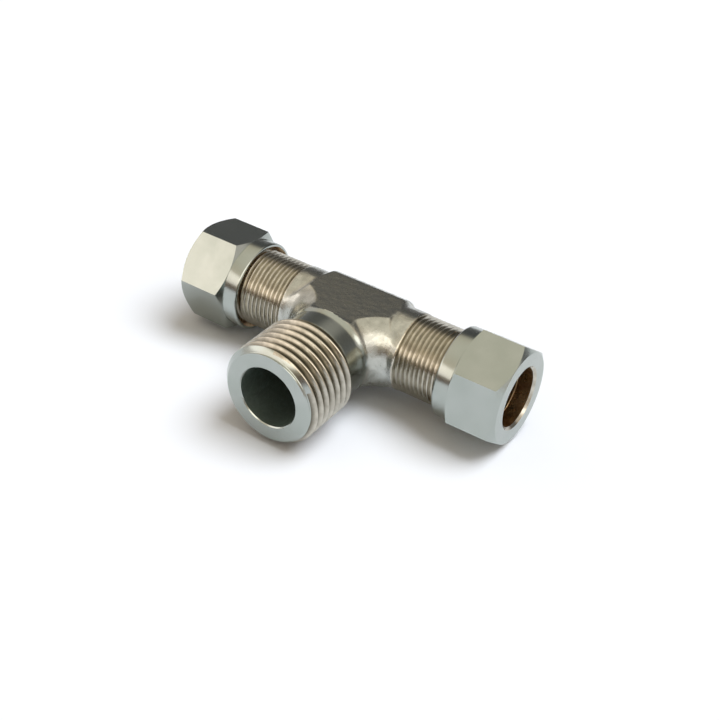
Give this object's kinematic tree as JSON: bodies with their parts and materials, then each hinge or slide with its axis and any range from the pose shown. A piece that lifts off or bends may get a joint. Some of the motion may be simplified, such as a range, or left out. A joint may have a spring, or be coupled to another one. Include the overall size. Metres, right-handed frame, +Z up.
{
  "type": "male branch tee fitting",
  "caption": "Forged pipe tee with ferrule-and-nut tube connections on the run and a male pipe thread on the branch.",
  "frame": {"origin": "where the run axis and the branch axis cross", "axes": "+X along the run towards the right nut, -Y along the branch towards its face, +Z up"},
  "size_m": [0.0746, 0.0403, 0.0218],
  "materials": {
    "nickel_body": "satin nickel plate on forged and turned brass",
    "nickel_nut": "satin nickel plate on turned hexagon brass",
    "ferrule_brass": "bare turned brass"
  },
  "bodies": {
    "tee": {"tee_body": "nickel_body"},
    "right_ferrule": {"right_ferrule": "ferrule_brass"},
    "right_nut": {"right_nut": "nickel_nut"},
    "left_ferrule": {"left_ferrule": "ferrule_brass"},
    "left_nut": {"left_nut": "nickel_nut"}
  },
  "joints": [
    {"name": "right_nut_travel", "type": "slide", "parent": "tee", "child": "right_ferrule", "axis": [1, 0, 0], "range_m": [-0.001, 0.004]},
    {"name": "right_nut_turn", "type": "hinge", "parent": "right_ferrule", "child": "right_nut", "pos_m": [0.03, 0, 0], "axis": [1, 0, 0], "range_deg": [-361, 1441]},
    {"name": "left_nut_travel", "type": "slide", "parent": "tee", "child": "left_ferrule", "axis": [-1, 0, 0], "range_m": [-0.001, 0.004]},
    {"name": "left_nut_turn", "type": "hinge", "parent": "left_ferrule", "child": "left_nut", "pos_m": [-0.03, 0, 0], "axis": [-1, 0, 0], "range_deg": [-361, 1441]}
  ],
  "couplings": [
    {"joint": "right_nut_turn", "follows": "right_nut_travel", "rad_per_m": 6283.2},
    {"joint": "left_nut_turn", "follows": "left_nut_travel", "rad_per_m": 6283.2}
  ]
}
